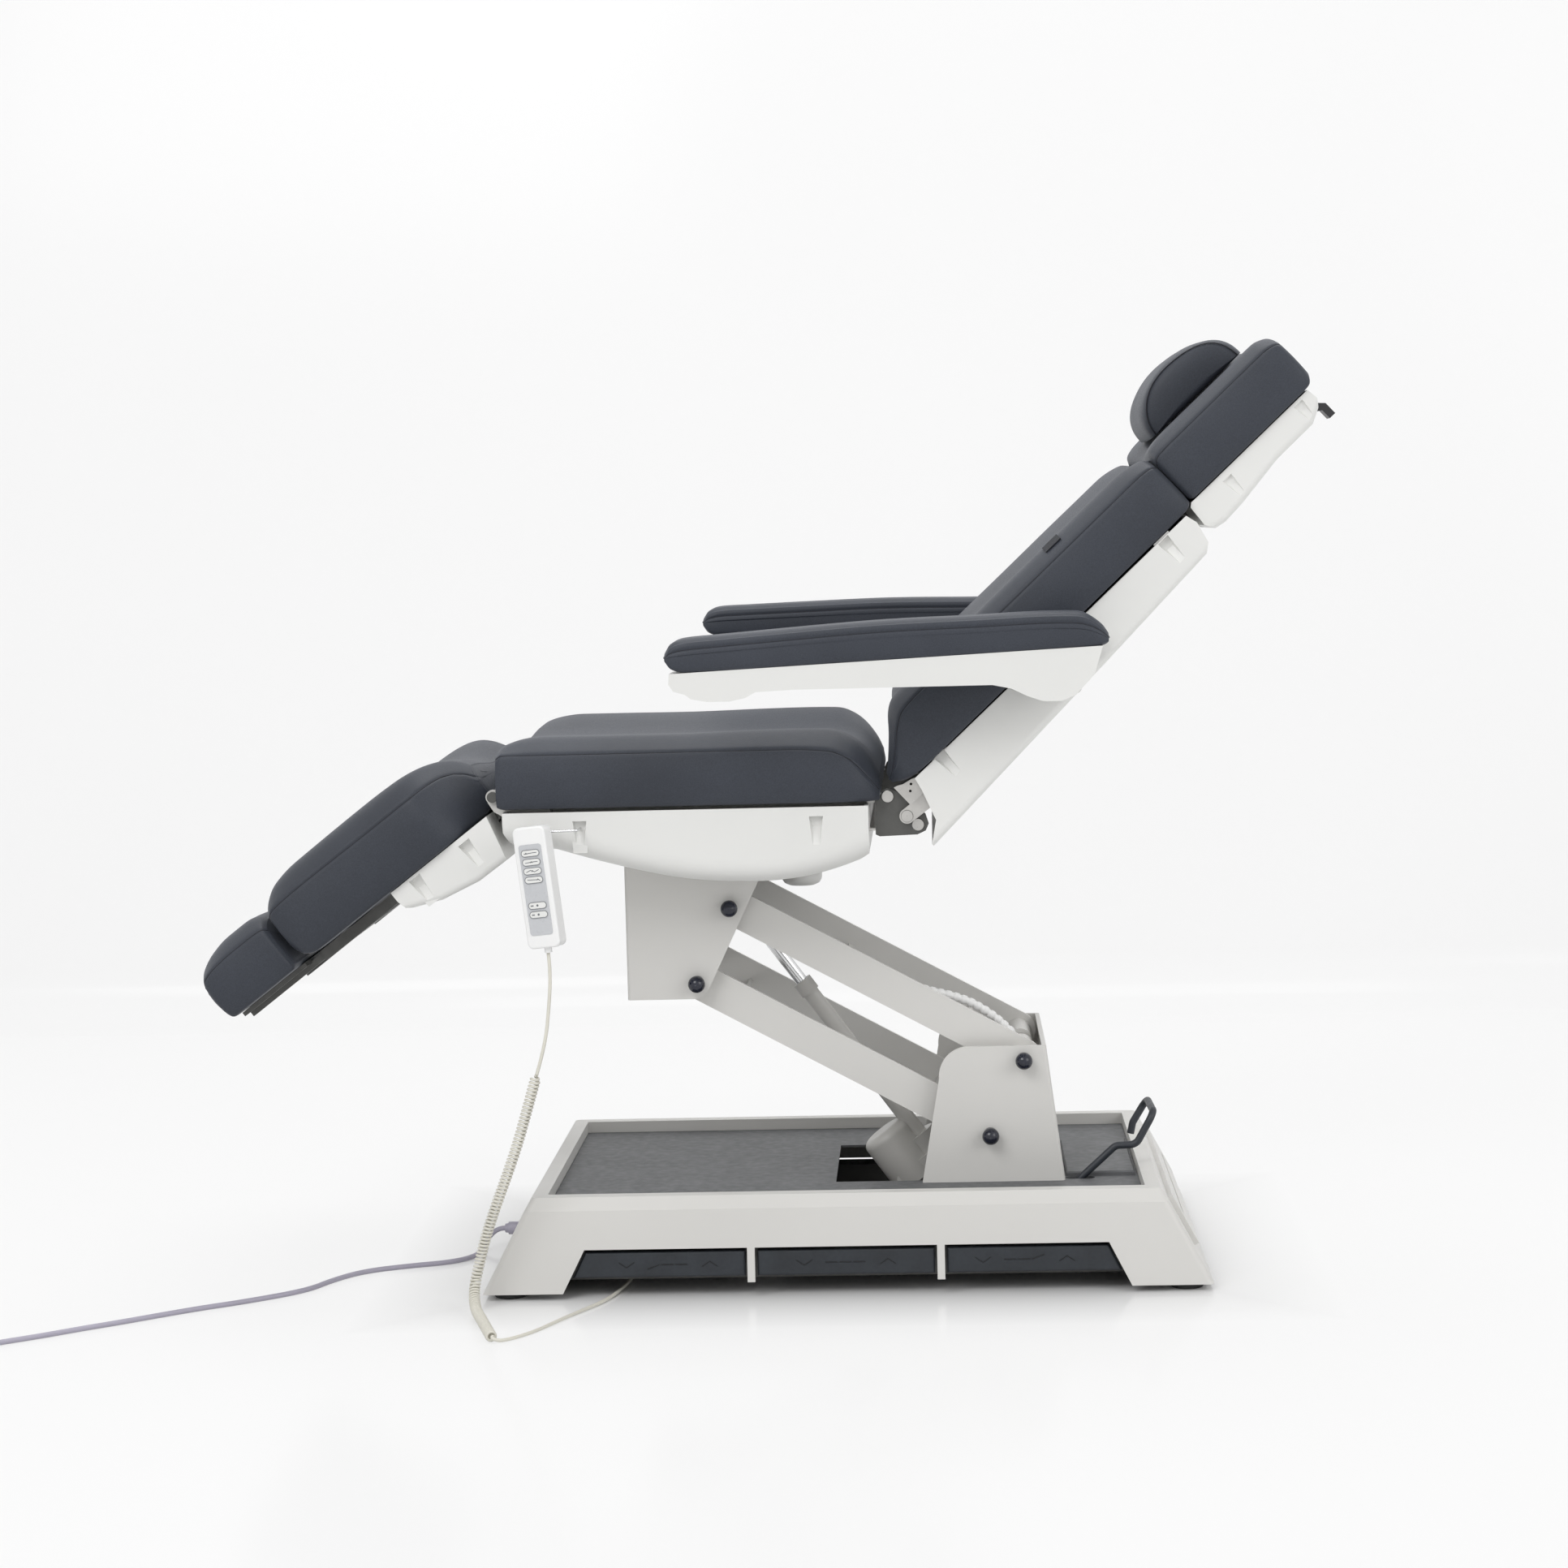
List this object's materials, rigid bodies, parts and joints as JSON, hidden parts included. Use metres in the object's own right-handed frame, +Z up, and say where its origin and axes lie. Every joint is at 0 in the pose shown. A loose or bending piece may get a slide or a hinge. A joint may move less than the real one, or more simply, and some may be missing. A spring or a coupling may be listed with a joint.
{
  "type": "treatment chair",
  "caption": "Powered treatment chair: pedal base, parallel-arm lift, tilting seat, reclining back with head and arm rests, leg and foot rests, handset on a curly cord.",
  "frame": {"origin": "on the floor at the middle of the bounding box of everything but the free cords", "axes": "+X toward the head end, +Y toward the sitter's right, +Z up"},
  "size_m": [1.8641, 1.1084, 1.2406],
  "materials": {
    "frame_paint": "satin powder coat",
    "deck_paint": "fine texture paint",
    "dark_steel": "matt zinc grey",
    "bright_steel": "brushed",
    "chrome": "polished",
    "shell": "satin moulding",
    "upholstery": "soft fine grain",
    "pedal_rubber": "matt",
    "cap_black": "gloss",
    "foot_rubber": "matt",
    "actuator_grey": "satin",
    "handset_white": "satin",
    "keypad_film": "semi gloss film",
    "cord_cream": "satin",
    "cord_grey": "satin",
    "lever_black": "matt",
    "slate_paint": "satin",
    "tab_dark": "woven"
  },
  "bodies": {
    "base": {"base_cover": "frame_paint", "base_deck": "deck_paint", "chassis": "dark_steel", "base_feet": "foot_rubber", "tail_panel": "frame_paint", "lift_post": "frame_paint", "post_pins": "bright_steel", "post_caps": "cap_black", "mains_gland": "cord_grey", "handset_coil": "cord_cream", "handset_tail": "cord_cream", "mains_cord": "cord_grey", "mains_coil": "cord_grey", "mains_plug": "cord_grey"},
    "lower_arms": {"lower_arms": "frame_paint"},
    "upper_arms": {"upper_arms": "frame_paint"},
    "bracket": {"head_bracket": "frame_paint", "bracket_pins": "bright_steel", "bracket_caps": "cap_black"},
    "actuator_body": {"actuator_body": "actuator_grey"},
    "actuator_rod": {"actuator_rod": "chrome"},
    "seat": {"seat_cushion": "upholstery", "seat_shell": "shell", "seat_frame": "frame_paint", "hinge_brackets": "dark_steel", "hinge_pins": "bright_steel", "handset": "handset_white", "keypad": "keypad_film", "handset_hook": "chrome", "handset_lead": "cord_cream"},
    "back": {"back_cushion": "upholstery", "back_shell": "shell", "back_frame": "dark_steel", "guard_plates": "bright_steel", "label_tab": "tab_dark"},
    "headrest": {"head_cushion": "upholstery", "head_shell": "shell", "head_frame": "dark_steel", "pillow": "upholstery"},
    "head_release": {"release_lever": "lever_black"},
    "link_left": {"link_left": "bright_steel"},
    "link_right": {"link_right": "bright_steel"},
    "armrest_left": {"armrest_pad_left": "upholstery", "armrest_shell_left": "shell", "armrest_plate_left": "bright_steel"},
    "armrest_right": {"armrest_pad_right": "upholstery", "armrest_shell_right": "shell", "armrest_plate_right": "bright_steel"},
    "leg": {"leg_cushion": "upholstery", "leg_shell": "shell", "leg_frame": "dark_steel"},
    "foot": {"foot_cushion": "upholstery", "foot_frame": "dark_steel"},
    "castor_pedal": {"castor_pedal": "slate_paint"},
    "pedal_leg_left": {"pedal_leg_left": "pedal_rubber"},
    "pedal_height_left": {"pedal_height_left": "pedal_rubber"},
    "pedal_back_left": {"pedal_back_left": "pedal_rubber"},
    "pedal_leg_right": {"pedal_leg_right": "pedal_rubber"},
    "pedal_height_right": {"pedal_height_right": "pedal_rubber"},
    "pedal_back_right": {"pedal_back_right": "pedal_rubber"}
  },
  "joints": [
    {"name": "lift", "type": "hinge", "parent": "base", "child": "lower_arms", "pos_m": [0.2733, 0, 0.1812], "axis": [0, 1, 0], "range_deg": [-26.7, 0], "deforming": ["handset_coil"]},
    {"name": "recline", "type": "hinge", "parent": "seat", "child": "back", "pos_m": [0.1464, 0, 0.652], "axis": [0, 1, 0], "range_deg": [-13, 43]},
    {"name": "legrest", "type": "hinge", "parent": "seat", "child": "leg", "pos_m": [-0.3716, 0, 0.663], "axis": [0, 1, 0], "range_deg": [-8, 37.3]},
    {"name": "seat_tilt", "type": "hinge", "parent": "bracket", "child": "seat", "pos_m": [0.0884, 0, 0.606], "axis": [0, 1, 0], "range_deg": [0, 8]},
    {"name": "upper_arm_swing", "type": "hinge", "parent": "base", "child": "upper_arms", "pos_m": [0.3199, 0, 0.2828], "axis": [0, 1, 0], "range_deg": [-26.7, 0]},
    {"name": "bracket_level", "type": "hinge", "parent": "upper_arms", "child": "bracket", "pos_m": [-0.07131, 0, 0.49698], "axis": [0, 1, 0], "range_deg": [0, 26.7]},
    {"name": "actuator_swing", "type": "hinge", "parent": "base", "child": "actuator_body", "pos_m": [0.2284, 0, 0.085], "axis": [0, 1, 0], "range_deg": [-22.6, 0]},
    {"name": "actuator_stroke", "type": "slide", "parent": "actuator_body", "child": "actuator_rod", "axis": [-0.5883, 0, 0.8087], "range_m": [-0.0955, 0]},
    {"name": "link_left_swing", "type": "hinge", "parent": "seat", "child": "link_left", "pos_m": [0.1714, -0.2515, 0.626], "axis": [0, 1, 0], "range_deg": [-13, 43]},
    {"name": "link_right_swing", "type": "hinge", "parent": "seat", "child": "link_right", "pos_m": [0.1714, 0.2515, 0.626], "axis": [0, 1, 0], "range_deg": [-13, 43]},
    {"name": "armrest_left_swing", "type": "hinge", "parent": "back", "child": "armrest_left", "pos_m": [0.3664, -0.29, 0.818], "axis": [0, 1, 0], "range_deg": [-43, 13]},
    {"name": "armrest_right_swing", "type": "hinge", "parent": "back", "child": "armrest_right", "pos_m": [0.3664, 0.29, 0.818], "axis": [0, 1, 0], "range_deg": [-43, 13]},
    {"name": "headrest_tilt", "type": "hinge", "parent": "back", "child": "headrest", "pos_m": [0.56618, 0, 1.00243], "axis": [0, 1, 0], "range_deg": [0, 35]},
    {"name": "head_release_pull", "type": "hinge", "parent": "headrest", "child": "head_release", "pos_m": [0.69529, 0, 1.13377], "axis": [0, 1, 0], "range_deg": [0, 6], "stiffness_Nm_per_rad": 3, "springref_deg": -5.73},
    {"name": "foot_extension", "type": "slide", "parent": "leg", "child": "foot", "axis": [-0.7955, 0, -0.606], "range_m": [0, 0.15]},
    {"name": "castor_pedal_press", "type": "hinge", "parent": "base", "child": "castor_pedal", "pos_m": [0.3834, -0.125, 0.098], "axis": [0, 1, 0], "range_deg": [0, 12], "stiffness_Nm_per_rad": 6, "springref_deg": -5.73},
    {"name": "pedal_leg_left_press", "type": "hinge", "parent": "base", "child": "pedal_leg_left", "pos_m": [-0.15585, -0.268, 0.044], "axis": [0, 1, 0], "range_deg": [-3.5, 3.5], "stiffness_Nm_per_rad": 8},
    {"name": "pedal_height_left_press", "type": "hinge", "parent": "base", "child": "pedal_height_left", "pos_m": [0.0784, -0.268, 0.044], "axis": [0, 1, 0], "range_deg": [-3.5, 3.5], "stiffness_Nm_per_rad": 8},
    {"name": "pedal_back_left_press", "type": "hinge", "parent": "base", "child": "pedal_back_left", "pos_m": [0.31265, -0.268, 0.044], "axis": [0, 1, 0], "range_deg": [-3.5, 3.5], "stiffness_Nm_per_rad": 8},
    {"name": "pedal_leg_right_press", "type": "hinge", "parent": "base", "child": "pedal_leg_right", "pos_m": [-0.15585, 0.268, 0.044], "axis": [0, 1, 0], "range_deg": [-3.5, 3.5], "stiffness_Nm_per_rad": 8},
    {"name": "pedal_height_right_press", "type": "hinge", "parent": "base", "child": "pedal_height_right", "pos_m": [0.0784, 0.268, 0.044], "axis": [0, 1, 0], "range_deg": [-3.5, 3.5], "stiffness_Nm_per_rad": 8},
    {"name": "pedal_back_right_press", "type": "hinge", "parent": "base", "child": "pedal_back_right", "pos_m": [0.31265, 0.268, 0.044], "axis": [0, 1, 0], "range_deg": [-3.5, 3.5], "stiffness_Nm_per_rad": 8}
  ],
  "couplings": [
    {"joint": "upper_arm_swing", "follows": "lift", "ratio": 1},
    {"joint": "bracket_level", "follows": "lift", "ratio": -1},
    {"joint": "actuator_swing", "follows": "lift", "ratio": 0.84391},
    {"joint": "actuator_stroke", "follows": "lift", "m_per_rad": 0.2037},
    {"joint": "link_left_swing", "follows": "recline", "ratio": 1},
    {"joint": "link_right_swing", "follows": "recline", "ratio": 1},
    {"joint": "armrest_left_swing", "follows": "recline", "ratio": -1},
    {"joint": "armrest_right_swing", "follows": "recline", "ratio": -1}
  ]
}
